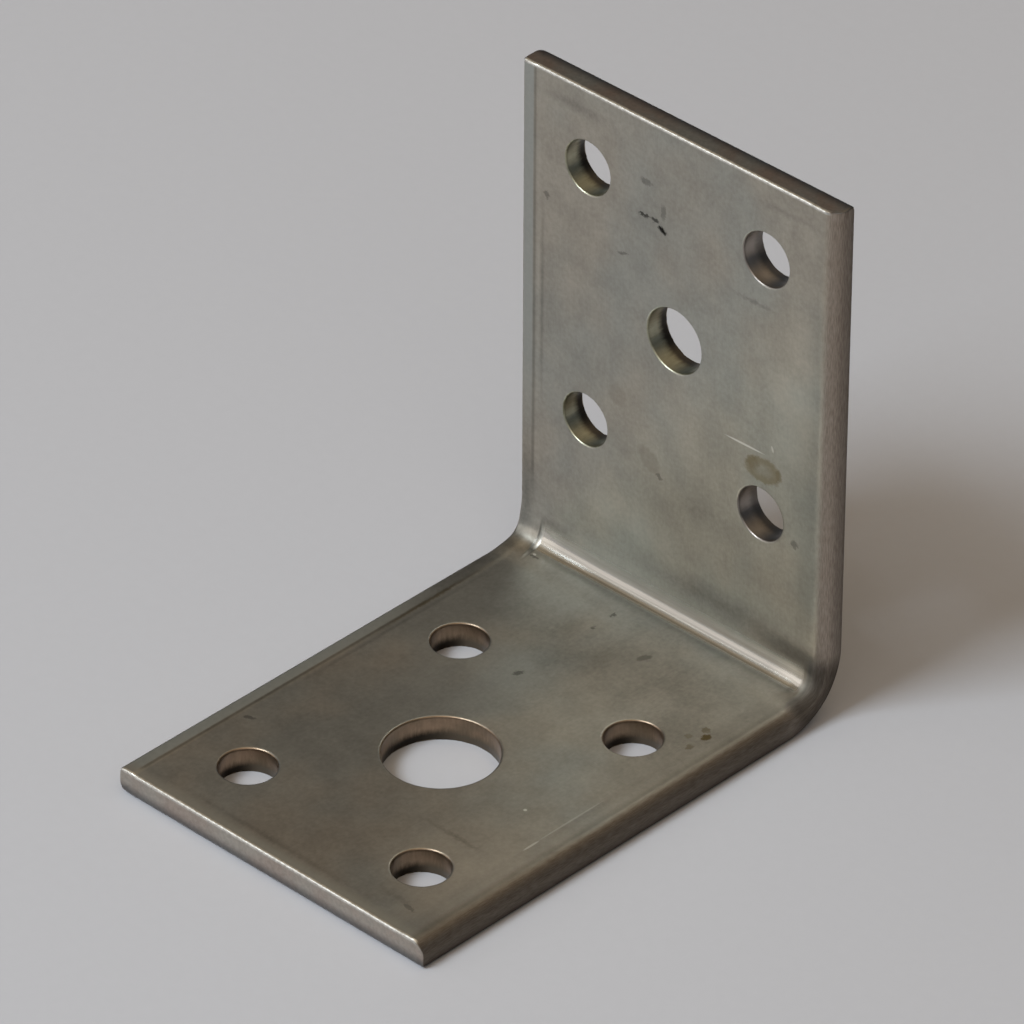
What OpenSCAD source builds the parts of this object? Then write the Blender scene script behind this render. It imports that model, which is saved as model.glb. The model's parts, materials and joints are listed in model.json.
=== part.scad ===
// Corner brace bracket: one strip of steel, punched, sheared to length and folded to a right angle.
// X runs across the strip. The base leg lies flat, its free end at -Y. The upright leg rises along +Z
// at the +Y side. The origin is in the middle of the base's underside, halfway between the base's
// free end and the back of the upright.

/* [Strip] */
// Width of the strip
strip_w = 35; // [30:1:60]
// Thickness of the strip
sheet_t = 2.5; // [2:0.1:4]
// Rounding of the strip's long edges on the two faces inside the angle
inner_edge_r = 0.4; // [0.2:0.1:0.8]
// Rounding of the strip's long edges on the two faces outside the angle
outer_edge_r = 0.7; // [0.2:0.1:1]

/* [Legs] */
// Length of the base leg, out to the back of the upright
base_len = 50; // [45:1:120]
// Height of the upright leg, down to the underside of the base
upright_len = 50; // [45:1:120]

/* [Fold] */
// Inside radius of the fold at the strip's free edges, beside the forming tool
fold_r = 4; // [3:0.5:6]
// Radius of the forming tool's nose, pressed into the inside of the fold
nose_r = 2; // [1:0.25:2.5]
// Strip left untouched by the forming tool along each long edge
tool_margin = 2.5; // [1.5:0.5:5]
// Depth to which the forming tool presses the two inner faces
press_depth = 0.05; // [0.02:0.01:0.15]

/* [Holes] */
// Diameter of the four screw holes in each leg
screw_d = 5; // [3.5:0.5:6]
// Diameter of the middle hole in the upright
upright_bolt_d = 6; // [4:0.5:8]
// Diameter of the middle hole in the base
base_bolt_d = 10; // [6:0.5:10]
// Metal between a screw hole and the strip's long edge
side_land = 5; // [3:0.5:7]
// Metal between a screw hole and the leg's end
end_land = 5; // [3:0.5:8]
// Flat metal between the fold and the nearest screw holes
fold_land = 8.5; // [4:0.5:10]
// Radius to which the punch draws in the rims on the inner faces
rim_r = 0.15; // [0.05:0.05:0.3]
// How much wider than the punch the metal tears out on the outer faces, on the radius
tear_out = 0.12; // [0.05:0.01:0.2]
// Depth of that torn part of the hole
tear_depth = 0.8; // [0.4:0.1:1]

/* [Sheared ends] */
// Rounding of each end's edge on the outer face, drawn down by the shear
shear_roll_r = 0.4; // [0.2:0.1:0.8]
// Rounding of each end's edge on the inner face
shear_break_r = 0.15; // [0.05:0.05:0.3]
// Rounding of the legs' corners, seen square on to the leg
corner_r = 0.6; // [0.3:0.1:2]

/* [Hidden] */
$fn = 96;
// Cutters run past the faces that they cut by this much
over = 1;
// Outside radius of the fold
fold_outer_r = fold_r + sheet_t;
// Height of the pressed inner face above the outer face
pressed_t = sheet_t - press_depth;
// Distance of the tool nose's axis from both outer faces
nose_axis = nose_r + pressed_t;
// Half the width of the band pressed by the tool
band_half = strip_w / 2 - tool_margin;
// Half the distance between the two columns of screw holes
screw_x = strip_w / 2 - side_land - screw_d / 2;
// Distance of the near row of screw holes from the back of the other leg
near_row = fold_outer_r + fold_land + screw_d / 2;

// Distance of the far row of screw holes from the back of the other leg
function far_row(leg_len) = leg_len - end_land - screw_d / 2;

// The strip's section: x across the strip, y from the outer face at 0 to the inner face
module strip_section() {
    translate([-strip_w / 2, outer_edge_r])
        square([strip_w, sheet_t - outer_edge_r - inner_edge_r]);
    translate([outer_edge_r - strip_w / 2, 0])
        square([strip_w - 2 * outer_edge_r, sheet_t / 2]);
    translate([inner_edge_r - strip_w / 2, sheet_t / 2])
        square([strip_w - 2 * inner_edge_r, sheet_t / 2]);
    for (side = [-1, 1]) {
        translate([side * (strip_w / 2 - outer_edge_r), outer_edge_r])
            circle(outer_edge_r);
        translate([side * (strip_w / 2 - inner_edge_r), sheet_t - inner_edge_r])
            circle(inner_edge_r);
    }
}

// What a cutter of radius r leaves outside a rounded edge: the corner is at 0, the metal at +x and +y
module edge_waste(r) {
    difference() {
        translate([-over, -over])
            square(r + over);
        translate([r, r])
            circle(r);
    }
}

// One punched hole, its axis on Z: drawn-in rim at the inner face, straight bore, torn-out mouth below
module punched_hole(d) {
    translate([0, 0, -over])
        cylinder(h = pressed_t + 2 * over, d = d);
    translate([0, 0, -over])
        cylinder(h = over, r = d / 2 + tear_out);
    cylinder(h = tear_depth, r1 = d / 2 + tear_out, r2 = d / 2);
    rotate_extrude()
        translate([d / 2, pressed_t])
            mirror([0, 1])
                edge_waste(rim_r);
}

// The holes of one leg: four screw holes at the corners of a rectangle and a bolt hole in its middle
module leg_holes(leg_len, bolt_d) {
    for (side = [-1, 1], row = [near_row, far_row(leg_len)])
        translate([side * screw_x, -row, 0])
            punched_hole(screw_d);
    translate([0, -(near_row + far_row(leg_len)) / 2, 0])
        punched_hole(bolt_d);
}

// What the shear takes off the end of one leg: both edges across the strip and the two corners
module end_waste(leg_len) {
    translate([0, -leg_len, 0])
        rotate([90, 0, 90])
            linear_extrude(strip_w + 2 * over, center = true)
                edge_waste(shear_roll_r);
    translate([0, -leg_len, pressed_t])
        rotate([90, 0, 90])
            linear_extrude(strip_w + 2 * over, center = true)
                mirror([0, 1])
                    edge_waste(shear_break_r);
    for (side = [0, 1])
        mirror([side, 0, 0])
            translate([-strip_w / 2, -leg_len, -over])
                linear_extrude(sheet_t + 2 * over)
                    edge_waste(corner_r);
}

// One leg, lying along -Y with its outer face down, from the fold to its free end
module leg(leg_len, bolt_d) {
    difference() {
        translate([0, -fold_outer_r, 0])
            rotate([90, 0, 0])
                linear_extrude(leg_len - fold_outer_r)
                    strip_section();
        leg_holes(leg_len, bolt_d);
        end_waste(leg_len);
    }
}

// The quarter turn that joins the two legs
module fold() {
    translate([0, -fold_outer_r, fold_outer_r])
        rotate([0, 90, 0])
            rotate_extrude(angle = 90)
                translate([fold_outer_r, 0])
                    rotate(90)
                        strip_section();
}

// The forming tool's nose: it presses a band into both inner faces and tightens the fold's inside
module tool_nose() {
    reach = max(base_len, upright_len);
    rotate([90, 0, -90])
        linear_extrude(2 * band_half, center = true) {
            translate([nose_axis, pressed_t])
                square(reach);
            translate([pressed_t, nose_axis])
                square(reach);
            translate([nose_axis, nose_axis])
                circle(nose_r);
        }
}

// The whole bracket, first with its heel at the origin
module bracket() {
    color([0.51, 0.5, 0.46])
        translate([0, base_len / 2, 0])
            difference() {
                union() {
                    leg(base_len, base_bolt_d);
                    mirror([0, 1, 1])
                        leg(upright_len, upright_bolt_d);
                    fold();
                }
                tool_nose();
            }
}

bracket();
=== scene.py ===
# %% [markdown]
# # A corner brace, from flat blank to folded steel
# The real piece is one strip of bright mild steel. A press punches ten holes in it, shears it to
# length and folds it to a right angle over a tool that is narrower than the strip. This lesson
# makes it in the same order: a flat blank is laid out as a grid, its edges are rounded, its holes
# are drawn in, and one formula folds everything. The CAD frame gives every size.

# %% The fixed frame
import json
import math

import bmesh
import bpy
import numpy as np
from mathutils import Matrix, Vector


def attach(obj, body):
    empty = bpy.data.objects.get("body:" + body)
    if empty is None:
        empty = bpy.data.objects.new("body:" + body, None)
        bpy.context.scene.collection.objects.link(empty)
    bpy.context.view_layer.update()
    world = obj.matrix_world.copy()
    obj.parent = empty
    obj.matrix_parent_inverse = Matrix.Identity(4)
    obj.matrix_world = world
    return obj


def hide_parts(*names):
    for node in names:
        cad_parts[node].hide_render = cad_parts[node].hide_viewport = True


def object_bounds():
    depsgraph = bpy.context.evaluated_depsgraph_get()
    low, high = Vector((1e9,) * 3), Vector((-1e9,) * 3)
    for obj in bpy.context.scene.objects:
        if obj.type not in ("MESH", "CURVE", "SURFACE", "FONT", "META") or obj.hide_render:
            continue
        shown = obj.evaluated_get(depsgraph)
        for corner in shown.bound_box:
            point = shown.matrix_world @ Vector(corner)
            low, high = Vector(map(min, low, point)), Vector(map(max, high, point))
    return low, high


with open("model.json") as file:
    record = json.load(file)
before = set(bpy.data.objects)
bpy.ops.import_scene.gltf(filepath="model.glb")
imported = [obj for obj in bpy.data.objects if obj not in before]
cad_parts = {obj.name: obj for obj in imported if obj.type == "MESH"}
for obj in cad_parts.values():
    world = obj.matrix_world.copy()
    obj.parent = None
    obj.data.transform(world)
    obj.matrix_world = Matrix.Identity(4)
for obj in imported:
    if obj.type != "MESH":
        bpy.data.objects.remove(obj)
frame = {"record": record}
cad_low, cad_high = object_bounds()
MM = 1000.0
mounts = {m["name"]: m for m in frame["record"]["mounts"]}

half_w = cad_high.x * MM
leg_len = (cad_high.y - cad_low.y) * MM
back_y = cad_high.y * MM
print(f"strip {2 * half_w:.1f} mm wide, legs {leg_len:.1f} mm long")

# %% [markdown]
# ## The camera
# A long lens from well back keeps the legs' edges nearly parallel. The view is given as a turntable
# would: an angle round the object, an angle above the floor, a slight roll, and the distance from
# the heel, which is the corner that the two outer faces would share.

# %% Camera
view_azimuth = math.radians(43.78)
view_elevation = math.radians(34.43)
view_roll = math.radians(0.29)
view_distance = 0.773
aim_left = 0.01495
aim_up = 0.00966
lens_mm = 321.2

back = Vector((
    math.sin(view_azimuth) * math.cos(view_elevation),
    -math.cos(view_azimuth) * math.cos(view_elevation),
    math.sin(view_elevation),
))
right = Vector((math.cos(view_azimuth), math.sin(view_azimuth), 0))
up = back.cross(right)
turned_right = right * math.cos(view_roll) + up * math.sin(view_roll)
turned_up = up * math.cos(view_roll) - right * math.sin(view_roll)

heel = Vector((0, cad_high.y, cad_low.z))
eye = heel - turned_right * aim_left + turned_up * aim_up + back * view_distance
camera = bpy.data.objects.new("camera", bpy.data.cameras.new("camera"))
camera.matrix_world = Matrix((
    (turned_right.x, turned_up.x, back.x, eye.x),
    (turned_right.y, turned_up.y, back.y, eye.y),
    (turned_right.z, turned_up.z, back.z, eye.z),
    (0, 0, 0, 1),
))
camera.data.sensor_width = 36
camera.data.lens = lens_mm
camera.data.clip_end = 20
bpy.context.scene.collection.objects.link(camera)
bpy.context.scene.camera = camera
print("camera stands at", [round(c, 3) for c in eye])

# %% [markdown]
# ## The blank
# The blank has three coordinates: `x` across the strip, `s` along it with 0 in the middle of the
# fold, and `d`, the depth above the outer face. The fold takes a quarter turn of the sheet's middle,
# and what is left of a leg's length goes on straight to the sheared end.

# %% Sizes of the blank
sheet_t = 2.5
fold_outer = 6.5
nose_r = 2.0
pressed_t = mounts["base_inner_face"]["pos_m"][2] * MM
press_depth = sheet_t - pressed_t
nose_axis = nose_r + pressed_t
fold_half = math.pi / 4 * (fold_outer - sheet_t / 2)
strip_end = fold_half + leg_len - fold_outer
print(f"the flat blank is {2 * strip_end:.1f} mm long and {sheet_t} mm thick")

# %% [markdown]
# ## The ten holes
# A punched hole has three parts: a rim that the punch drew down, a straight burnished wall, and
# a torn mouth where the slug broke away. Its place and size come from the frame's mounts. Around
# each hole, a square of the grid is left out, and a patch that blends from circle to square fills it.
# The squares' sides are 4 mm from a screw hole's middle and 6 mm from a bolt hole's.

# %% Holes from the frame
rim_r = 0.2
tear_out, tear_depth = 0.12, 0.8
screw_square, bolt_square = 4.0, 6.0


def holes_of_leg(pattern, bolt, lengthwise, sign):
    """(x, s, radius, half the square) of a leg's five holes; lengthwise is the leg's own axis."""
    dims = mounts[pattern]["dims"]
    middle = mounts[bolt]["pos_m"][lengthwise] * MM
    middle = back_y - middle if lengthwise == 1 else middle
    places = [(0, middle, mounts[bolt]["dims"]["r_mm"], bolt_square)]
    places += [
        (i * dims["spacing_x_mm"] / 2, middle + j * dims["spacing_y_mm"] / 2, dims["hole_r_mm"], screw_square)
        for i in (-1, 1) for j in (-1, 1)
    ]
    return [(x, sign * (fold_half + v - fold_outer), r, half) for x, v, r, half in places]


holes = holes_of_leg("base_screws", "base_bolt_hole", 1, -1)
holes += holes_of_leg("upright_screws", "upright_bolt_hole", 2, 1)
for x, s, r, half in holes:
    print(f"hole of {2 * r:.0f} mm at x {x:+.1f}, s {s:+.2f}")

# %% [markdown]
# ## The blank's grid
# Lines are close together where an edge is rounded and where the groove ends, and wide apart on the
# flats, so that a rounded edge gets faces and a flat doesn't waste them. They also run along the
# sides of each hole's square. Distances from an edge or end are listed from the inside outwards,
# and the frame's numbers are rounded to a thousandth of a millimetre, which drops their last noise.

# %% Lines of the grid
grid_step = 0.5
fine_stop = 15.6
screws = mounts["base_screws"]["dims"]
screw_x = screws["spacing_x_mm"] / 2
leg_middle = round(back_y - mounts["base_bolt_hole"]["pos_m"][1] * MM, 3)
first_screw = leg_middle - screws["spacing_y_mm"] / 2
last_screw = leg_middle + screws["spacing_y_mm"] / 2


def steps(start, stop, count):
    """count values in equal steps from start towards stop, without stop itself."""
    return list(np.linspace(start, stop, count, endpoint=False))


def square_lines(middle, half):
    """Lines through a hole's square, from one side towards the other."""
    return steps(middle - half, middle + half, round(2 * half / grid_step))


def mirrored(values):
    """Rising values from 0 up, with their negatives in front."""
    values = np.array(values)
    return np.concatenate([-values[::-1], values[1:]])


near_edge = [half_w - a for a in (0.7, 0.58, 0.47, 0.34, 0.27, 0.19, 0.1, 0)]
x_half = steps(0, screw_x - screw_square, 12) + square_lines(screw_x, screw_square)
x_half += steps(screw_x + screw_square, fine_stop, 15)
x_half += steps(fine_stop, round(near_edge[0], 3), 7) + near_edge
x_lines = mirrored(x_half)

near_end = [leg_len - a for a in (0.8, 0.6, 0.5, 0.4, 0.33, 0.26, 0.2, 0.15, 0.11, 0.07, 0.03, 0)]
leg_lines = steps(fold_outer, first_screw - screw_square, 8) + square_lines(first_screw, screw_square)
leg_lines += steps(first_screw + screw_square, leg_middle - bolt_square, 3)
leg_lines += square_lines(leg_middle, bolt_square)
leg_lines += steps(leg_middle + bolt_square, last_screw - screw_square, 3)
leg_lines += square_lines(last_screw, screw_square)
leg_lines += steps(last_screw + screw_square, round(near_end[0], 3), 4) + near_end
s_lines = mirrored(steps(0, fold_half, 30) + [fold_half + v - fold_outer for v in leg_lines])

d_lines = [0, 0.05, 0.1, 0.19, 0.27, 0.34, 0.4, 0.47, 0.58, 0.7, 0.85, 1.0, 1.2, 1.4, 1.6, 1.8, 1.95, 2.1]
d_lines = np.array(d_lines + [sheet_t - a for a in (0.3, 0.2, 0.15, 0.1, 0.06, 0.03, 0)])
print(len(x_lines), "lines across,", len(s_lines), "along and", len(d_lines), "through the sheet")

# %% [markdown]
# ## Rounding the blank's edges
# The strip was slit from a wider sheet, which rolls one long edge of each flank over and leaves
# the other nearly square: the outer one is rolled at the left, the inner one at the right. The
# shear rolls the ends' outer edge over in the same way. A square corner turns into a round one
# when each square ring round the fillet's centre is squeezed into the circle that fits inside it:
# a point keeps its direction from the centre, and its distance becomes the larger of its two
# coordinates.

# %% Rounded edges
left_inner_r, left_outer_r = 0.3, 1.4
right_inner_r, right_outer_r = 1.35, 0.4
shear_break_r, shear_roll_r, corner_r = 0.22, 0.6, 0.2
flank_bulge, bulge_reach = 0.1, 0.7


def rounded(p, q, radius):
    """p and q are depths below two faces that meet: their square corner becomes a round one."""
    u, v = np.maximum(radius - p, 0), np.maximum(radius - q, 0)
    squeeze = np.where((u > 0) & (v > 0), np.maximum(u, v) / np.maximum(np.hypot(u, v), 1e-12), 1)
    return np.where(u > 0, radius - u * squeeze, p), np.where(v > 0, radius - v * squeeze, q)


def round_edges(x, s, d):
    """The blank's points with its long edges, sheared ends and four corners rounded."""
    side, end = half_w - np.abs(x), strip_end - np.abs(s)
    side, d = rounded(side, d, np.where(x < 0, left_outer_r, right_outer_r))
    side, below = rounded(side, sheet_t - d, np.where(x < 0, left_inner_r, right_inner_r))
    d = sheet_t - below
    end, d = rounded(end, d, shear_roll_r)
    end, below = rounded(end, sheet_t - d, shear_break_r)
    d = sheet_t - below
    side, end = rounded(side, end, corner_r)
    flank = np.clip(1 - side / bulge_reach, 0, 1)
    side = side + flank_bulge * flank * (2 * d / sheet_t - 1) ** 2
    return np.sign(x) * (half_w - side), np.sign(s) * (strip_end - end), d


corner = [float(c) for c in round_edges(half_w, 0.0, sheet_t)]
print(f"the rolled edge's middle lies {half_w - corner[0]:.2f} mm in and {sheet_t - corner[2]:.2f} mm down")

# %% [markdown]
# ## What the tools leave on the inner face
# The forming tool presses a band into both inner faces and a tight nose into the fold. The nose
# bites full depth in the middle. At the left it rises and ends at a crisp crease, and at the right
# it runs out softly. The fold's margins beside it are partly pressed along with it, and the left one
# falls away a little to the strip's edge. Rolling and handling leave slow waves of about a hundredth
# of a millimetre, which a satin metal shows more than one would think, because they bend its
# reflections.

# %% Relief of the two faces
band_left, band_right, left_soft, right_soft = -15.9, 14.9, 0.2, 1.0
crease_x, crease_soft, shallow_press, shallow_run = -14.6, 0.12, 0.7, 7.0
run_out_x, run_out = 15.6, 1.2
margin_left, margin_right = 0.52, 0.72
edge_fall, fold_edge_fall, fall_start, fall_width = 0.04, 0.12, 15.8, 1.7
inner_wave, outer_wave, wave_fade = 0.012, 0.01, 0.4


def smooth_step(value):
    """0 below 0, 1 above 1, and a smooth S between."""
    value = np.clip(value, 0, 1)
    return value * value * (3 - 2 * value)


def waves(x, s, size, seed, count=9):
    """A slow random relief between -1 and 1: the mean of plane waves about size mm long."""
    rng = np.random.default_rng(seed)
    turn, phase = rng.uniform(0, 2 * math.pi, (2, count))
    pitch = 2 * math.pi / (size * rng.uniform(0.7, 1.5, count))
    x, s = np.asarray(x)[..., None], np.asarray(s)[..., None]
    return np.sin(pitch * (x * np.cos(turn) + s * np.sin(turn)) + phase).mean(-1)


def fold_angle(s):
    """The sheet's turn at s: 0 on the base, a quarter turn on the upright."""
    return np.clip((s + fold_half) / (2 * fold_half), 0, 1) * math.pi / 2


def nose_reach(angle):
    """Distance from the fold's axis to the tool's surface: its two flats, or its round nose between."""
    offset = fold_outer - nose_axis
    flat = fold_outer - pressed_t
    near = np.minimum(angle, math.pi / 2 - angle)
    across = offset * (np.sin(angle) + np.cos(angle))
    nose = across + np.sqrt(np.maximum(across ** 2 - 2 * offset ** 2 + nose_r ** 2, 0))
    return np.where(flat * np.tan(near) < offset, flat / np.cos(near), nose)


def between(x, left, soft_left, right, soft_right):
    """1 between left and right and 0 outside, with soft sides this wide to either hand."""
    return smooth_step((x - left) / (2 * soft_left) + 0.5) * smooth_step((right - x) / (2 * soft_right) + 0.5)


def inner_relief(x, s):
    """How far the inner face stands above its plain place."""
    bend = np.cos(np.clip(s / fold_half, -1, 1) * math.pi / 2) ** 2
    on_leg = between(x, band_left, left_soft, band_right, right_soft)
    tool = between(x, crease_x, crease_soft, run_out_x, run_out)
    in_fold = shallow_press + (1 - shallow_press) * smooth_step((x - crease_x) / shallow_run)
    in_fold = in_fold * tool + np.where(x < 0, margin_left, margin_right) * (1 - tool)
    beside = np.clip((np.abs(x) - fall_start) / fall_width, 0, 1) ** 2 * (x < 0)
    pressed = fold_outer - nose_reach(fold_angle(s)) - sheet_t
    nose = pressed * in_fold * bend - press_depth * on_leg * (1 - bend)
    pressed = np.where(bend > 0, nose, pressed * on_leg)
    return pressed - (edge_fall + fold_edge_fall * bend) * beside + inner_wave * waves(x, s, 17, 3)


def outer_relief(x, s):
    """The same for the metal near the outer face, which only waves."""
    return outer_wave * waves(x, s, 19, 8)


print(f"the nose bites {-float(inner_relief(0.0, 0.0)):.2f} mm deep in the middle of the fold")

# %% [markdown]
# ## The fold
# Each line of the blank that crosses the fold turns about the fold's axis, and the legs stay
# straight. The formula works on whole arrays, so the holes' walls, the edges and the faces all go
# through the same fold. The outer waves fade out in the last part of the depth, so that the outer
# face itself stays plane and the base lies flat.

# %% Folding the blank into metres
def folded(x, s, d):
    """Places the blank's points: the base below y, a quarter turn about the fold's axis, the upright."""
    x, s, d = round_edges(x, s, d)
    rise = d / sheet_t
    d = d + rise * inner_relief(x, s) + (1 - rise) * outer_relief(x, s) * np.minimum(d, wave_fade) / wave_fade
    turn, reach = fold_angle(s), fold_outer - d
    run = np.maximum(np.abs(s) - fold_half, 0)
    out = np.where(s < 0, run, 0) + fold_outer - reach * np.sin(turn)
    high = np.where(s > 0, run, 0) + fold_outer - reach * np.cos(turn)
    return np.stack([x, back_y - out, high], -1) / MM


print("the fold's inner face passes", folded(0.0, 0.0, sheet_t).round(4), "m")

# %% [markdown]
# ## Collecting the patches
# Every patch is a grid of points in the blank's coordinates. The collector keeps its corners, its
# four-sided faces, and one number per point that says how much the point belongs to a hole's wall:
# 0 off it, 0.2 on a hole's right side and 1 on its left, where it also sets painted shade.

# %% The collector
patches = []


def add_patch(x, s, d, wall=0.0, keep=None):
    """Keeps a grid of points; keep, one value per face, leaves faces out."""
    x, s, d, wall = np.broadcast_arrays(x, s, d, wall)
    index = np.arange(x.size).reshape(x.shape)
    quads = np.stack([index[:-1, :-1], index[1:, :-1], index[1:, 1:], index[:-1, 1:]], -1)
    quads = quads.reshape(-1, 4) if keep is None else quads[keep]
    patches.append((np.stack([x, s, d], -1).reshape(-1, 3), wall.reshape(-1).astype(float), quads))


def middles(lines):
    """The middle of each step between lines."""
    return (lines[1:] + lines[:-1]) / 2


print("the widest face is", round(float(np.diff(x_lines).max()), 2), "mm wide")

# %% [markdown]
# ## Faces, flanks and ends
# The two faces, the two long flanks and the two sheared ends are plain grids. The squares round
# the holes are left open in both faces, for the patches that have the holes in them.

# %% Faces, flanks and ends
grid_x, grid_s = np.meshgrid(x_lines, s_lines, indexing="ij")
face_x, face_s = np.meshgrid(middles(x_lines), middles(s_lines), indexing="ij")
solid = np.ones(face_x.shape, bool)
for x, s, r, half in holes:
    solid &= np.maximum(np.abs(face_x - x), np.abs(face_s - s)) > half
for depth in (0, sheet_t):
    add_patch(grid_x, grid_s, float(depth), keep=solid)

edge_s, edge_d = np.meshgrid(s_lines, d_lines, indexing="ij")
for side in (-half_w, half_w):
    add_patch(side, edge_s, edge_d)
end_x, end_d = np.meshgrid(x_lines, d_lines, indexing="ij")
for end in (-strip_end, strip_end):
    add_patch(end_x, end, end_d)
print(len(patches), "patches before the holes")

# %% [markdown]
# ## Holes
# The patch round a hole turns from a square outline into the hole's rim, by mixing the two curves.
# The wall goes down from the inner face: a drawn-in rim, a straight length that the punch has
# rubbed, and a ragged mouth where the slug tore away, which opens towards the outer face. `blend`
# holds the shares of the square in the patch's rings, from the rim outwards.

# %% Patches round the holes and their walls
blend = np.array([0, 0.06, 0.13, 0.21, 0.3, 0.41, 0.54, 0.69, 0.84, 1])
raggedness, tooth = 0.35, 1.1


def square_ring(count):
    """count points on each side of the square from -1 to 1, in order, closed."""
    f = np.arange(count) / count * 2 - 1
    one = np.ones(count)
    ring = np.concatenate([
        np.stack([one, f], -1), np.stack([-f, one], -1), np.stack([-one, -f], -1), np.stack([f, -one], -1)
    ])
    return np.vstack([ring, ring[:1]])


for number, (x, s, r, half) in enumerate(holes):
    square = square_ring(round(2 * half / grid_step))
    angle = math.pi * (2 * np.arange(len(square)) / (len(square) - 1) - 0.25)
    circle = np.stack([np.cos(angle), np.sin(angle)], -1)

    ragged = 1 + raggedness * waves(3 * circle[:, 0], 3 * circle[:, 1], tooth, 40 + number)
    mouth = r + tear_out * ragged
    for depth, ring_r in ((sheet_t, r + rim_r + 0 * mouth), (0, mouth)):
        ring = circle * ring_r[:, None]
        spread = ring[:, None] * (1 - blend[:, None]) + half * square[:, None] * blend[:, None]
        add_patch(x + spread[..., 0], s + spread[..., 1], float(depth))

    dip = np.linspace(0, math.pi / 2, 7)
    rim = r + rim_r * (1 - np.sin(dip)), sheet_t - rim_r * (1 - np.cos(dip))
    straight = np.linspace(sheet_t - rim_r, tear_depth, 9)[1:]
    torn = np.linspace(tear_depth, 0, 7)[1:]
    wall_d = np.concatenate([rim[1], straight, torn])
    wall_r = np.concatenate([rim[0], r + 0 * straight, r + 0 * torn])[None, :]
    opening = np.clip(1 - wall_d / tear_depth, 0, 1)[None, :]
    wall_r = wall_r + (mouth - r)[:, None] * opening
    # the wall's number: larger on a hole's left side, where it sets painted shade
    wall_and_shade = np.clip((sheet_t - wall_d) / rim_r, 0, 1)[None, :] * (0.6 - 0.4 * circle[:, :1])
    add_patch(x + wall_r * circle[:, :1], s + wall_r * circle[:, 1:], wall_d[None, :], wall_and_shade)
print(len(patches), "patches with the holes")

# %% [markdown]
# ## One closed mesh
# The patches meet line on line, so joining points that coincide closes the skin. Each point also
# keeps its blank coordinates, because rolling grain, streaks and stains follow the sheet round
# the fold, and the material reads them from there. At the rim of a torn mouth a joined point keeps
# the wall number of either patch, so the dark of the tear ends in an uneven line there.

# %% The bracket's mesh
def build_bracket():
    """Joins the patches into one closed mesh with the attributes blank and wall."""
    starts = np.cumsum([0] + [len(p[0]) for p in patches[:-1]])
    blank = np.vstack([p[0] for p in patches])
    wall = np.concatenate([p[1] for p in patches])
    quads = np.vstack([p[2] + start for p, start in zip(patches, starts)])
    mesh = bpy.data.meshes.new("steel_bracket")
    mesh.from_pydata(folded(*blank.T), [], quads.tolist())
    mesh.attributes.new("blank", "FLOAT_VECTOR", "POINT").data.foreach_set("vector", blank.ravel())
    mesh.attributes.new("wall", "FLOAT", "POINT").data.foreach_set("value", wall)
    work = bmesh.new()
    work.from_mesh(mesh)
    bmesh.ops.delete(work, geom=[v for v in work.verts if not v.link_faces], context="VERTS")
    bmesh.ops.remove_doubles(work, verts=work.verts, dist=1e-6)
    bmesh.ops.recalc_face_normals(work, faces=work.faces)
    open_edges = sum(not e.is_manifold for e in work.edges)
    work.to_mesh(mesh)
    work.free()
    mesh.polygons.foreach_set("use_smooth", np.ones(len(mesh.polygons), bool))
    mesh.set_sharp_from_angle(angle=math.radians(50))
    print(len(mesh.vertices), "points,", len(mesh.polygons), "faces,", open_edges, "open edges")
    return mesh


bracket = bpy.data.objects.new("steel_bracket", build_bracket())
bpy.context.scene.collection.objects.link(bracket)
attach(bracket, "root")
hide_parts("bracket")

# %% [markdown]
# ## Colours and nodes
# A colour is written as it looks on a screen, in sRGB hex, and one function turns it to the linear
# numbers that the renderer works in. One more function adds any shader node: its settings are
# named, and its open inputs are filled in order with a number, a hex colour or another node's output.

# %% Colours and nodes
def linear(hex_colour):
    """sRGB hex to linear red, green, blue and an alpha of 1."""
    c = np.array([int(hex_colour[i:i + 2], 16) for i in (1, 3, 5)]) / 255
    c = np.where(c <= 0.04045, c / 12.92, ((c + 0.055) / 1.055) ** 2.4)
    return tuple(c.tolist()) + (1.0,)


def add(tree, kind, *inputs, output=0, **settings):
    """Adds a node, sets it up, fills or links its open inputs in order, and gives back an output."""
    node = tree.nodes.new("ShaderNode" + kind)
    for name, value in settings.items():
        setattr(node, name, value)
    for socket, value in zip([s for s in node.inputs if s.enabled], inputs):
        if isinstance(value, bpy.types.NodeSocket):
            tree.links.new(value, socket)
        elif value is not None:
            socket.default_value = linear(value) if isinstance(value, str) else value
    return [s for s in node.outputs if s.enabled][output]


soft = {"interpolation_type": "SMOOTHSTEP"}
colours = {"data_type": "RGBA"}
times = {"data_type": "RGBA", "blend_type": "MULTIPLY"}
print("mid grey #808080 is", round(linear("#808080")[0], 3), "in linear light")

# %% [markdown]
# ## Satin steel: where a point is
# The bracket is bright mild steel, cold-rolled to a satin. One material covers the whole piece, as
# one sheet would. It reads the blank's coordinates in millimetres, which every point of the mesh
# keeps, so a pattern runs along the strip and round the fold.

# %% The blank's coordinates in the material
steel = bpy.data.materials.new("satin_cold_rolled_mild_steel")
steel.use_nodes = True
tree = steel.node_tree
finish = tree.nodes["Principled BSDF"]
bracket.data.materials.append(steel)

blank = add(tree, "Attribute", output=1, attribute_name="blank")
wall = add(tree, "Attribute", output=2, attribute_name="wall")
smears_and_painted_light = add(tree, "Attribute", output=2, attribute_name="smears_and_painted_light")
across, along, depth = add(tree, "SeparateXYZ", blank).node.outputs
off_middle = add(tree, "Math", across, operation="ABSOLUTE")
off_fold = add(tree, "Math", along, operation="ABSOLUTE")
print(len(tree.nodes), "nodes find the place")
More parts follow.
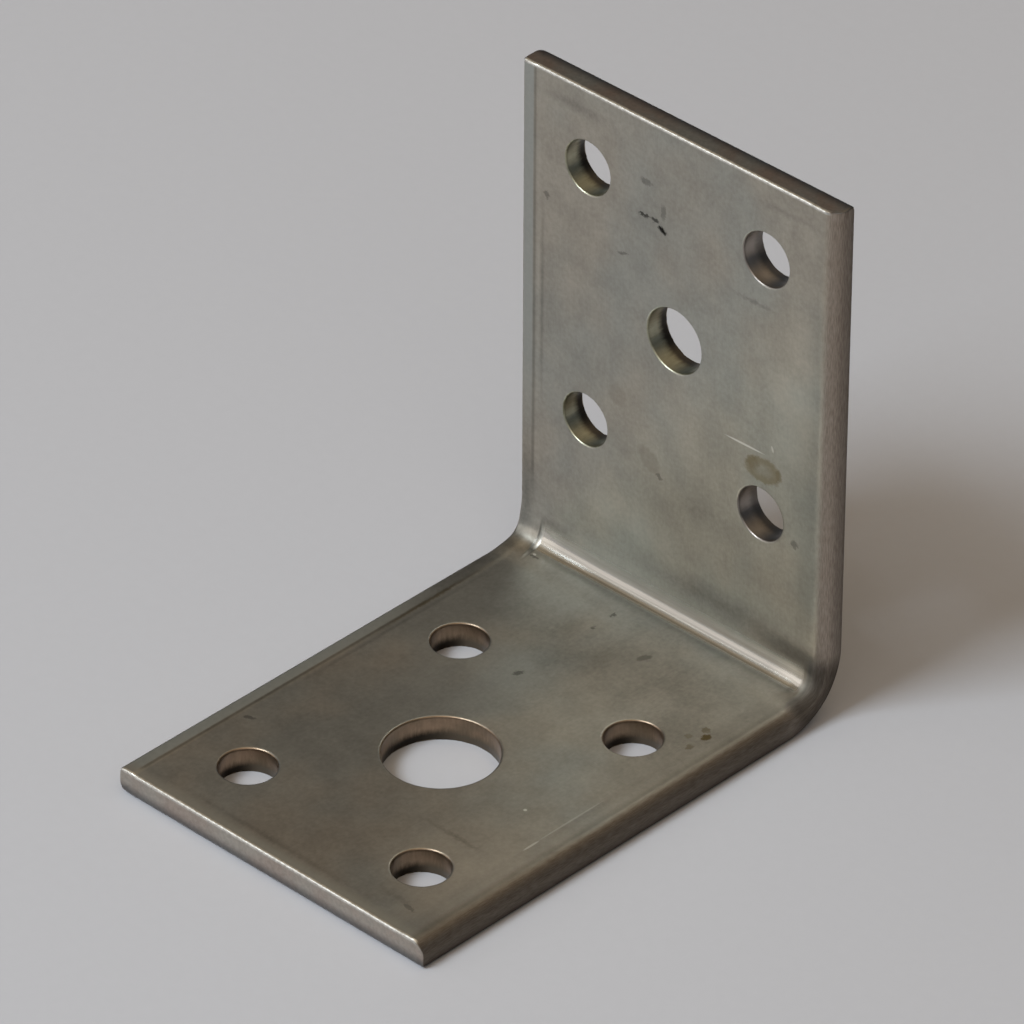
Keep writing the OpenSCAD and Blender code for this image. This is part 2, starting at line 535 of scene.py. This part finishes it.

# %% [markdown]
# ## Zones
# The tools and the mill leave zones with a finish of their own, and some zones place painted shade
# and light. The press burnishes the groove, and painted shade lies beside it. The slit edges are
# brown and dull, and a pressed line runs beside the left one. The shear rolls the front end over,
# and a painted highlight lies along its arris and stops at the rolled edge. Each zone is a product
# of smooth ramps.

# %% Zones of the finish
def zone(*ramps):
    """A soft-edged area: the product of ramps, each from 0 at start to 1 at stop of a value."""
    area = 1.0
    for value, start, stop in ramps:
        ramp = add(tree, "MapRange", value, start, stop, **soft)
        area = add(tree, "Math", area, ramp, operation="MULTIPLY")
    return area


inner = (depth, 1.9, 2.4)
curve = (off_fold, 3.2, 1.2)
roll_x = half_w - right_inner_r
line_x = -16.0
on_base = zone((along, 0.0, -2.0))
on_wall = zone((wall, 0.05, 0.18))
left_edge = zone((across, 0.3 - half_w, 0.05 - half_w))
edge_zone = add(tree, "Math", zone((across, roll_x - 0.15, roll_x + 0.95)), left_edge, operation="MAXIMUM")
base_edge = zone((across, roll_x - 0.75, roll_x + 0.35), (along, -1.0, -6.0))
end_zone = zone((off_fold, strip_end - 0.12, strip_end - 0.02))
off_roll = (across, roll_x + 0.85, roll_x + 0.15)
# where the painted highlight of the arris goes
arris = zone((off_fold, strip_end - 0.32, strip_end - 0.2), (depth, 2.15, 2.3), off_roll)

rolled_over = zone((along, 1.7 - strip_end, 0.4 - strip_end), (depth, 1.9, 2.4))
# where the painted shade of the rolled-over foot goes
under_roll = zone((depth, 1.5, 0.4), (off_fold, strip_end - 0.8, strip_end - 0.4))

groove_ends = zone((across, run_out_x + 0.2, run_out_x - 0.4), (across, crease_x - 0.2, crease_x + 0.1))
groove = zone((groove_ends, 0, 1), inner, (along, -1.0, -0.5), (along, 2.3, 1.2))
crease_sides = zone((across, crease_x - 0.35, crease_x - 0.1), (across, crease_x + 0.4, crease_x + 0.1))
crease = zone((crease_sides, 0, 1), inner, (off_fold, 3.0, 0.8))
left_margin = zone(curve, inner, (across, crease_x, crease_x - 0.3))
right_margin = zone(curve, inner, (across, run_out_x - 0.6, run_out_x + 0.2))
fold_roll = zone((off_fold, 4.0, 2.0), (across, roll_x - 0.55, roll_x + 0.15))
fold_rim = zone((off_fold, 5.0, 2.0), (across, roll_x + 0.25, roll_x + 0.75), (depth, 1.75, 2.1))
# where painted shade lies above and below the groove
shade_above_groove = zone((along, 1.0, 1.8), (along, 5.0, 3.0), (across, 4, 16), inner)
below_ends = (off_middle, run_out_x, run_out_x - 0.8)
shade_below_groove = zone((along, -0.2, -0.5), (along, -1.9, -0.7), below_ends, inner)
press_line = zone((across, line_x - 0.3, line_x), (across, line_x + 0.25, line_x + 0.05), (off_fold, 4.5, 8))
left_strip = zone((across, line_x, line_x - 0.25), (off_fold, 8, 22))
print(len(tree.nodes), "nodes with the zones")

# %% [markdown]
# ## Grain, clouds and streaks
# Rolling leaves fine grain along the strip, the tool leaves lines along the groove, and oil and
# handling leave clouds of slightly browner and greener grey. The sizes are those of the features in
# millimetres: a noise of scale 1 makes features of about a millimetre, so the place is divided by
# the size. Real rolling grain is finer than 0.05 mm, and is drawn coarser here so that it shows.

# %% Patterns
def pattern(size_x, size_s, size_d, detail=3.0, roughness=0.55, shift=0.0):
    """Soft noise from 0 to 1 with features of these sizes in mm."""
    scale = (1 / size_x, 1 / size_s, 1 / size_d)
    place = add(tree, "Mapping", blank, (shift, shift, shift), (0, 0, 0), scale)
    return add(tree, "TexNoise", place, 1.0, detail, roughness)


clouds = add(tree, "MapRange", pattern(11, 14, 9, 2), 0.35, 0.65, **soft)
blotches = add(tree, "MapRange", pattern(3.2, 3.6, 3, 4, shift=7), 0.3, 0.7, **soft)
mottle = pattern(0.4, 0.45, 0.4, 3, 0.7, shift=19)
grain = pattern(0.14, 3.5, 0.4, 4, 0.65, shift=3)
press_lines = pattern(9.0, 0.16, 0.3, 3, 0.6, shift=11)
edge_lines = pattern(0.12, 0.9, 0.1, 3, 0.6, shift=23)
tear_lines = pattern(0.3, 0.3, 1.4, 4, 0.7, shift=31)
print(len(tree.nodes), "nodes with the patterns")

# %% [markdown]
# ## Marks of use
# Scuffs, stains and scratches are soft-edged ovals placed on the blank: a middle, two half
# sizes in millimetres, a turn in degrees and a strength. Their coordinates are shaken a little by a
# fine noise first, so that no outline is a clean oval. Ovals of one kind are joined by taking the
# strongest.

# %% Ovals on the blank
shake_scale, shake_reach, mark_depth = 2.2, 0.9, 1.2
shake = add(tree, "Mapping", blank, (0, 0, 0), (0, 0, 0), (shake_scale, shake_scale, shake_scale))
shake = add(tree, "TexNoise", shake, 1.0, 4.0, 0.7, output=1)
shake = add(tree, "VectorMath", shake, (0.5, 0.5, 0.5), operation="SUBTRACT")
shake = add(tree, "VectorMath", shake, shake_reach, operation="SCALE")
shaken = add(tree, "VectorMath", blank, shake, operation="ADD")


def marks(ovals, start=1.0, stop=0.55, place=shaken):
    """The strongest of many ovals, each (x, s, half x, half s, turn, strength)."""
    strongest = 0.0
    for x, s, half_x, half_s, turn, strength in ovals:
        middle, spin, size = (x, s, sheet_t), (0, 0, math.radians(turn)), (half_x, half_s, mark_depth)
        oval = add(tree, "Mapping", place, middle, spin, size, vector_type="TEXTURE")
        radius = add(tree, "VectorMath", oval, operation="LENGTH")
        shade = add(tree, "MapRange", radius, start, stop, 0, strength, **soft)
        strongest = add(tree, "Math", shade, strongest, operation="MAXIMUM")
    return strongest


def upright(*ovals):
    """Ovals given with their height on the upright, in the blank's s."""
    return [(x, fold_half + z - fold_outer, *rest) for x, z, *rest in ovals]


def base(*ovals):
    """Ovals given with their distance from the heel on the base, in the blank's s."""
    return [(x, fold_outer - fold_half - v, a, b, -turn, strength) for x, v, a, b, turn, strength in ovals]


print(len(tree.nodes), "nodes with the shake")

# %% [markdown]
# ## Scuffs, stains and scratches
# Black scuffs come from a boot or a tool, brown spots are the first rust, one ring is a dried drop of
# oil, light lines are scratches, and the smudges are short rubs of grease across the strip.

# %% The marks by kind
black = marks(upright(
    (-3.6, 40.8, 0.8, 0.2, 0, 0.8), (-2.4, 40.85, 0.6, 0.26, 0, 0.75), (-1.6, 40.25, 0.62, 0.36, -30, 1),
    (-1.4, 41.9, 0.3, 1.0, 0, 0.3), (-3.4, 44.1, 0.8, 0.4, 0, 0.35), (-14.6, 37.9, 0.45, 0.55, 0, 0.42),
    (-5.9, 36.0, 0.8, 0.16, 20, 0.4), (13.9, 16.3, 0.5, 0.5, 0, 0.4), (-1.4, 15.8, 0.5, 0.3, -30, 0.4),
) + base(
    (-3.3, 5.7, 0.28, 0.45, 0, 0.5), (-3.2, 8.4, 0.25, 0.25, 0, 0.5), (2.8, 8.6, 0.45, 0.9, 20, 0.35),
    (-3.2, 17.5, 0.35, 0.7, 20, 0.5), (-14.8, 37.6, 0.7, 0.22, -20, 0.55), (-13.8, 4.0, 0.7, 0.16, -8, 0.5),
    (13.1, 47.1, 0.9, 0.25, 10, 0.4), (11.7, 44.3, 0.32, 0.3, 0, 0.9), (11.8, 19.2, 0.3, 0.25, 0, 0.9),
))
brown = marks(upright(
    (9.0, 22.2, 0.9, 0.8, 0, 0.25), (11.9, 22.1, 0.45, 0.8, 0, 0.25),
    (-6.3, 21.7, 1.4, 1.3, 0, 0.15), (-2.6, 17.0, 1.8, 1.2, -35, 0.2),
) + base(
    (14.3, 13.3, 0.5, 0.6, 0, 0.9), (13.6, 12.5, 0.5, 0.5, 30, 0.5), (14.2, 15.2, 0.4, 0.5, 0, 0.45),
    (13.1, 14.1, 0.35, 0.4, 0, 0.3), (-15.95, 15.5, 0.25, 5.2, 0, 0.45),
))
light = marks(upright(
    (8.1, 23.55, 2.6, 0.13, 1, 0.7), (11.2, 24.5, 0.15, 0.4, 20, 0.5),
) + base(
    (14.35, 34.2, 0.14, 1.1, 0, 0.5), (14.3, 29.5, 0.12, 4.5, 0, 0.2), (10.6, 31.0, 0.2, 0.2, 0, 0.6),
    (-14.0, 3.7, 0.22, 0.16, 0, 0.7),
), place=blank)
smudge = marks(upright(
    (-11.0, 47.9, 5.5, 0.8, 0, 0.6), (12.5, 47.9, 5.5, 0.5, 0, 0.6), (8.8, 37.9, 3.4, 0.3, 0, 0.8),
) + base(
    (9.3, 37.6, 4.4, 0.4, 0, 0.9), (-2, 48.3, 14, 0.5, 0, 0.6), (11.5, 46.8, 3.0, 0.7, 0, 0.6),
), 1.0, 0.0)
drop = upright((10.2, 21.95, 2.2, 1.3, 5, 0.5))
ring = add(tree, "Math", marks(drop, 0.75, 0.2), -0.5, marks(drop, 1.05, 0.8), operation="MULTIPLY_ADD")
print(len(tree.nodes), "nodes with the marks")

# %% [markdown]
# ## Smears, wiped places and painted shade
# Wide, weak smears need no sharp outline, so each point of the mesh keeps one number for them:
# above 0 where the steel is lighter, and below 0 where it is darker. Some ovals are smears and wiped
# places; the darkening ones across and beside the fold and along the upright's right edge are painted
# shade, and those along the left edge's upper part and just above the groove are painted light. The
# numbers are worked out once, as whole arrays, which costs the renderer far less than as many nodes.

# %% Smears and painted shade kept on the mesh
mesh = bracket.data
places = np.empty(3 * len(mesh.vertices), np.float32)
mesh.attributes["blank"].data.foreach_get("vector", places)
places = places.reshape(-1, 3)


def smears(ovals):
    """The sum of soft ovals: a strength times the smooth step of one minus the scaled radius."""
    total = np.zeros(len(places))
    for x, s, half_x, half_s, turn, strength in ovals:
        u, v = places[:, 0] - x, places[:, 1] - s
        cosine, sine = math.cos(math.radians(turn)), math.sin(math.radians(turn))
        radius = np.hypot((u * cosine + v * sine) / half_x, (v * cosine - u * sine) / half_s)
        total += strength * smooth_step(1 - radius) * (places[:, 2] > sheet_t / 2)
    return total


# smears, with painted shade beside the fold and right edge and painted light on the left edge
smear_values = smears(upright(
    (5.0, 6.4, 11, 2.0, 2, -0.3), (-9.2, 47.2, 1.5, 1.6, 0, -0.12), (13.0, 46.6, 0.5, 1.5, -20, -0.15),
    (-5.3, 16.4, 1.2, 1.1, 0, -0.12), (-15.05, 27, 0.3, 15, 0, -0.25), (-15.5, 30, 0.3, 20, 0, 0.12),
    (-16.7, 8, 1.3, 9, 0, -0.35), (-13.6, 4.9, 3.5, 0.9, -6, -0.22), (4, 14.5, 9, 4, 15, -0.1),
    (-6, 4.5, 10, 1.1, 0, 0.14), (-16.8, 32, 0.9, 22, 0, 0.2), (14.0, 29, 5, 11, 0, 0.22),
    (-4, 9.8, 9, 3.2, 8, 0.16), (16.2, 26, 1.6, 30, 0, -0.18), (13.5, 5.2, 4.5, 1.7, 0, -0.3),
) + base(
    (-15.95, 17, 0.6, 11, 0, -0.35), (-16.0, 36, 0.35, 16, 0, -0.25), (-15.3, 20, 0.3, 18, 0, -0.25),
    (0, 3.2, 18, 1.8, 0, -0.06), (-8, 7, 9, 4, 0, 0.12), (-16.8, 9, 1.3, 13, 0, -0.3),
    (2, 10, 20, 9, 0, -0.32), (13, 17, 6, 9, 0, -0.24), (15.3, 34, 2.2, 26, 0, 0.14),
    (12.5, 42, 9, 13, 0, 0.26), (-16.9, 34, 1.1, 30, 0, 0.25), (-8, 44, 10, 12, 0, 0.12),
    (-9, 22, 10, 12, 0, 0.18),
))
mesh.attributes.new("smears_and_painted_light", "FLOAT", "POINT").data.foreach_set("value", smear_values)
print(f"smears from {smear_values.min():.2f} to {smear_values.max():.2f}")

# %% [markdown]
# ## The faces' colour
# Cold-rolled steel is a light grey that leans warm or green where oil stays. The base is painted a
# little darker and browner, as painted shade. The patterns make it uneven by about a tenth.

# %% Colour of the two legs
upright_leg = add(tree, "Mix", clouds, "#a4a39a", "#aca598", **colours)
# painted shade: the base is a darker, browner copy of the upright's colour
base_leg = add(tree, "Mix", clouds, "#92918b", "#9a9388", **colours)
face = add(tree, "Mix", on_base, upright_leg, base_leg, **colours)
tone = add(tree, "Math", blotches, 0.15, 0.625, operation="MULTIPLY_ADD")
for texture, share in ((grain, 0.14), (mottle, 0.46), (smudge, -0.32), (smears_and_painted_light, 1.0)):
    tone = add(tree, "Math", texture, share, tone, operation="MULTIPLY_ADD")
face = add(tree, "Mix", 1.0, face, tone, **times)
for mark, colour in ((brown, "#5b4b26"), (ring, "#75632f"), (black, "#262320"), (light, "#efece4")):
    face = add(tree, "Mix", mark, face, colour, **colours)
print(len(tree.nodes), "nodes with the faces")

# %% [markdown]
# ## Margins
# Beside the pressed band the left strip is painted lighter and cooler, as painted light, with a
# darker line where the band ends. The fold's right margin and the crease at the groove's left end
# are darkened with painted shade, and a painted sheen lies along the front edge.

# %% Colour of the margins
# painted light: lighter, cooler colours for the left strip
lighter = add(tree, "Mix", mottle, "#a0a29b", "#b3b3ac", **colours)
bluer = add(tree, "Mix", mottle, "#a3a6a1", "#b8bab5", **colours)
painted_light_strip = add(tree, "Mix", on_base, lighter, bluer, **colours)
# painted shade darkens the fold's right margin
face = add(tree, "Mix", right_margin, face, "#e7e7e7", **times)
face = add(tree, "Mix", press_line, face, "#dadada", **times)
face = add(tree, "Mix", left_strip, face, painted_light_strip, **colours)
# painted shade darkens the crease at the groove's left end
face = add(tree, "Mix", crease, face, "#b4b4b4", **times)
# painted sheen: a lighter band along the inner side of the base's front edge
painted_edge_sheen = add(tree, "Mix", mottle, "#a6a39a", "#b2aea4", **colours)
face = add(tree, "Mix", rolled_over, face, painted_edge_sheen, **colours)
print(len(tree.nodes), "nodes with the margins")

# %% [markdown]
# ## The groove
# The tool burnishes the groove, and its colour is painted lighter, most of all near its ends, as a
# painted highlight. Painted shade darkens both sides of it.

# %% Colour of the groove
near_ends = add(tree, "MapRange", off_middle, 11.5, 14.5, **soft)
# painted highlight: the burnished groove's colour is lighter, most near its ends
burnish_and_highlight = add(tree, "Mix", near_ends, "#bab6ad", "#d2cdc2", **colours)
tool_marks = add(tree, "MapRange", press_lines, 0.25, 0.75, 0.9, 1.08, **soft)
burnish_and_highlight = add(tree, "Mix", 1.0, burnish_and_highlight, tool_marks, **times)
face = add(tree, "Mix", groove, face, burnish_and_highlight, **colours)
# painted shade darkens both sides of the groove
face = add(tree, "Mix", shade_above_groove, face, "#c4c4c4", **times)
face = add(tree, "Mix", shade_below_groove, face, "#cdd0d2", **times)
print(len(tree.nodes), "nodes with the groove")

# %% [markdown]
# ## The slit edges
# The slit edges are brown, with faint streaks along them. Painted shade darkens them towards the
# outer face, which is the foot on the base, and painted light makes them lighter towards the inner
# face, where the right one is rolled over. On the base and in the fold that roll is darkened further
# with painted shade.

# %% Colour of the slit edges
streaks = add(tree, "MapRange", edge_lines, 0.3, 0.7, **soft)
edge = add(tree, "Mix", streaks, "#776c61", "#8f857a", **colours)
# painted shade towards the outer face, and painted light towards the inner face
painted_foot_shade = add(tree, "MapRange", depth, 0.15, 0.75, 0.55, 1.0, **soft)
edge = add(tree, "Mix", 1.0, edge, painted_foot_shade, **times)
painted_roll_light = add(tree, "MapRange", depth, 0.7, 2.3, 1.05, 1.55, **soft)
edge = add(tree, "Mix", 1.0, edge, painted_roll_light, **times)
face = add(tree, "Mix", edge_zone, face, edge, **colours)
# painted shade on the base's rolled edge, in the fold and on the fold's rim
face = add(tree, "Mix", base_edge, face, "#c2c0bd", **times)
face = add(tree, "Mix", fold_roll, face, "#c8c8c8", **times)
face = add(tree, "Mix", fold_rim, face, "#cfcfcf", **times)
print(len(tree.nodes), "nodes with the slit edges")

# %% [markdown]
# ## The sheared ends
# A sheared end is dull on its face, with a painted highlight on its arris. The upper end is painted
# darker and the front end lighter, as painted shade and light on one material, and painted shade
# makes the rolled-over foot darker and a little bluer.

# %% Colour of the sheared ends
# painted light and shade: the front end lighter and the upper end darker
front_end = add(tree, "Mix", blotches, "#b6b0a6", "#b3a69b", **colours)
top_end = add(tree, "Mix", blotches, "#92908a", "#948479", **colours)
sheared = add(tree, "Mix", add(tree, "MapRange", along, -1.0, 1.0, **soft), front_end, top_end, **colours)
speckles = add(tree, "MapRange", mottle, 0.2, 0.8, 0.85, 1.1, **soft)
sheared = add(tree, "Mix", 1.0, sheared, speckles, **times)
# painted shade: the rolled-over foot of the ends darker and bluer
sheared = add(tree, "Mix", under_roll, sheared, "#a9adb4", **times)
face = add(tree, "Mix", end_zone, face, sheared, **colours)
# painted highlight along the sheared ends' arris
sparkle = add(tree, "MapRange", mottle, 0.3, 0.7, **soft)
face = add(tree, "Mix", arris, face, add(tree, "Mix", sparkle, "#bdb9b0", "#e2dfd7", **colours), **colours)
print(len(tree.nodes), "nodes with the sheared ends")

# %% [markdown]
# ## The holes' walls
# The punch rubs the upper part of a wall smooth, and the slug tears away from the rest, which stays
# rough and darker, far darker on a hole's left side with painted shade. The walls of the upright's
# right-hand holes are darker.

# %% Colour of the walls
rubbed = add(tree, "Mix", blotches, "#b3b09a", "#9d9c88", **colours)
browner = add(tree, "Mix", blotches, "#9d8670", "#7d6e5c", **colours)
rubbed = add(tree, "Mix", on_base, rubbed, browner, **colours)
scores = add(tree, "MapRange", tear_lines, 0.3, 0.7, 0.9, 1.08, **soft)
rubbed = add(tree, "Mix", 1.0, rubbed, scores, **times)
ragged_depth = add(tree, "Math", tear_lines, 0.5, depth, operation="MULTIPLY_ADD")
torn_zone = zone((ragged_depth, 1.7, 0.8))
# painted shade: the torn part darker, most of all on a hole's left side
torn = add(tree, "Mix", add(tree, "MapRange", wall, 0.75, 1.0, **soft), "#6a6052", "#2c2721", **colours)
hole_wall = add(tree, "Mix", torn_zone, rubbed, torn, **colours)
right_hole_walls = add(tree, "Mix", blotches, "#a09891", "#857e77", **colours)
right_hole_walls = add(tree, "Mix", torn_zone, right_hole_walls, "#bcbcbc", **times)
hole_wall = add(tree, "Mix", zone((across, 4, 6.5), (along, -1, 1)), hole_wall, right_hole_walls, **colours)
colour = add(tree, "Mix", on_wall, face, hole_wall, **colours)
tree.links.new(colour, finish.inputs["Base Color"])
finish.inputs["Metallic"].default_value = 1.0
print(len(tree.nodes), "nodes with the walls")

# %% [markdown]
# ## Gloss and height
# Rolled satin has a roughness of about a third; burnishing halves it, and dirt raises it. The grain
# is only a few thousandths of a millimetre high, which is still enough to break up a reflection.

# %% Gloss
gloss = add(tree, "MapRange", clouds, 0, 1, 0.33, 0.35, **soft)
dirt = add(tree, "Math", black, brown, operation="MAXIMUM")
for cause, share in ((on_base, 0.04), (mottle, 0.06), (dirt, 0.2)):
    gloss = add(tree, "Math", cause, share, gloss, operation="MULTIPLY_ADD")
for area, value in (
    (right_margin, 0.4), (left_margin, 0.3), (groove, 0.18), (edge_zone, 0.55),
    (fold_roll, 0.8), (end_zone, 0.4), (arris, 0.3), (crease, 0.5), (on_wall, 0.36),
):
    gloss = add(tree, "Mix", area, gloss, value, data_type="FLOAT")
tree.links.new(gloss, finish.inputs["Roughness"])
print(len(tree.nodes), "nodes with the gloss")

# %% [markdown]
# ## The finest relief
# Where a tool, the rolls or the tear shaped the steel last, their lines take the grain's place.

# %% Height
relief = add(tree, "Math", grain, mottle, operation="ADD")
torn_wall = add(tree, "Math", on_wall, torn_zone, operation="MULTIPLY")
tears = add(tree, "Math", tear_lines, 8.0, operation="MULTIPLY")
faint_lines = add(tree, "Math", edge_lines, 0.5, operation="MULTIPLY")
for area, height in ((groove, press_lines), (edge_zone, faint_lines), (torn_wall, tears)):
    relief = add(tree, "Mix", area, relief, height, data_type="FLOAT")
grain_height = 0.0000025
bump = add(tree, "Bump", 1.0, grain_height, None, relief)
tree.links.new(bump, finish.inputs["Normal"])
print(len(tree.nodes), "nodes in the steel")

# %% [markdown]
# ## The paper
# The bracket stands on plain pale paper. Its fibres only break the evenness; they are drawn about a
# millimetre long, which is coarser than real ones, so that they show at all.

# %% Floor
paper = bpy.data.materials.new("matt_paper")
paper.use_nodes = True
sheet = paper.node_tree
fibre = add(sheet, "TexNoise", add(sheet, "TexCoord", output=3), 900.0, 3.0)
paper_finish = sheet.nodes["Principled BSDF"]
sheet.links.new(add(sheet, "Mix", fibre, "#bab9bc", "#bdbcbf", **colours), paper_finish.inputs["Base Color"])
paper_finish.inputs["Roughness"].default_value = 0.8

floor_reach = 2
floor_mesh = bpy.data.meshes.new("floor")
floor_corners = [(a * floor_reach, b * floor_reach, 0) for a, b in ((-1, -1), (1, -1), (1, 1), (-1, 1))]
floor_mesh.from_pydata(floor_corners, [], [(0, 1, 2, 3)])
floor_mesh.materials.append(paper)
floor = bpy.data.objects.new("floor", floor_mesh)
bpy.context.scene.collection.objects.link(floor)
print("the floor is", floor.dimensions.x, "m wide")

# %% [markdown]
# ## The room
# The room is dim, cool near the horizon and warm overhead. The height of a direction, cubed, goes
# from one colour to the other, so the warm part stays near the top.

# %% Room
world = bpy.data.worlds.new("room")
bpy.context.scene.world = world
world.use_nodes = True
room = world.node_tree
height = add(room, "SeparateXYZ", add(room, "TexCoord"), output=2)
rise = add(room, "Math", height, 3.0, operation="POWER")
dome = add(room, "Mix", rise, (0.07, 0.088, 0.11, 1), (0.77, 0.605, 0.4, 1), **colours)
room.links.new(dome, room.nodes["Background"].inputs["Color"])
print(len(room.nodes), "nodes in the room")

# %% [markdown]
# ## Lamps
# A softbox stands high in front and to the left, and a large card to its left reaches down to the
# floor: the groove mirrors the card, and both legs mirror it by way of each other. A faint, wide
# and warm lamp fills the front right. A lamp's power is worked out from the brightness of its face.

# %% Lamps
lamp_aim = 0.02
cool, neutral, warm = (0.88, 1.0, 1.11), (1.05, 1.0, 0.97), (1.02, 0.95, 0.9)


def lamp(name, azimuth, elevation, distance, width, tall, radiance, colour):
    """A soft lamp that faces the bracket; azimuth runs from the left side towards the front."""
    light = bpy.data.lights.new(name, "AREA")
    light.shape = "RECTANGLE"
    light.size, light.size_y = width, tall
    light.energy = radiance * math.pi * width * tall
    light.color = colour
    around, above = math.radians(azimuth), math.radians(elevation)
    level = math.cos(above)
    towards = Vector((-math.cos(around) * level, -math.sin(around) * level, math.sin(above)))
    stand = bpy.data.objects.new(name, light)
    stand.location = Vector((0, 0, lamp_aim)) + towards * distance
    stand.rotation_euler = towards.to_track_quat("Z", "Y").to_euler()
    bpy.context.scene.collection.objects.link(stand)
    print(f"{name}: {light.energy:.1f} W")


lamp("softbox", azimuth=72, elevation=50, distance=1.0, width=0.425, tall=0.35, radiance=15.2, colour=cool)
lamp("card", azimuth=46, elevation=20, distance=2.0, width=1.6, tall=1.4, radiance=0.65, colour=neutral)
lamp("card_foot", azimuth=50, elevation=11, distance=2.0, width=1.3, tall=0.75, radiance=0.35, colour=neutral)
lamp("far_wall", azimuth=130, elevation=44, distance=2.5, width=2.6, tall=2.6, radiance=0.45, colour=warm)
bpy.context.scene.view_settings.view_transform = "Standard"
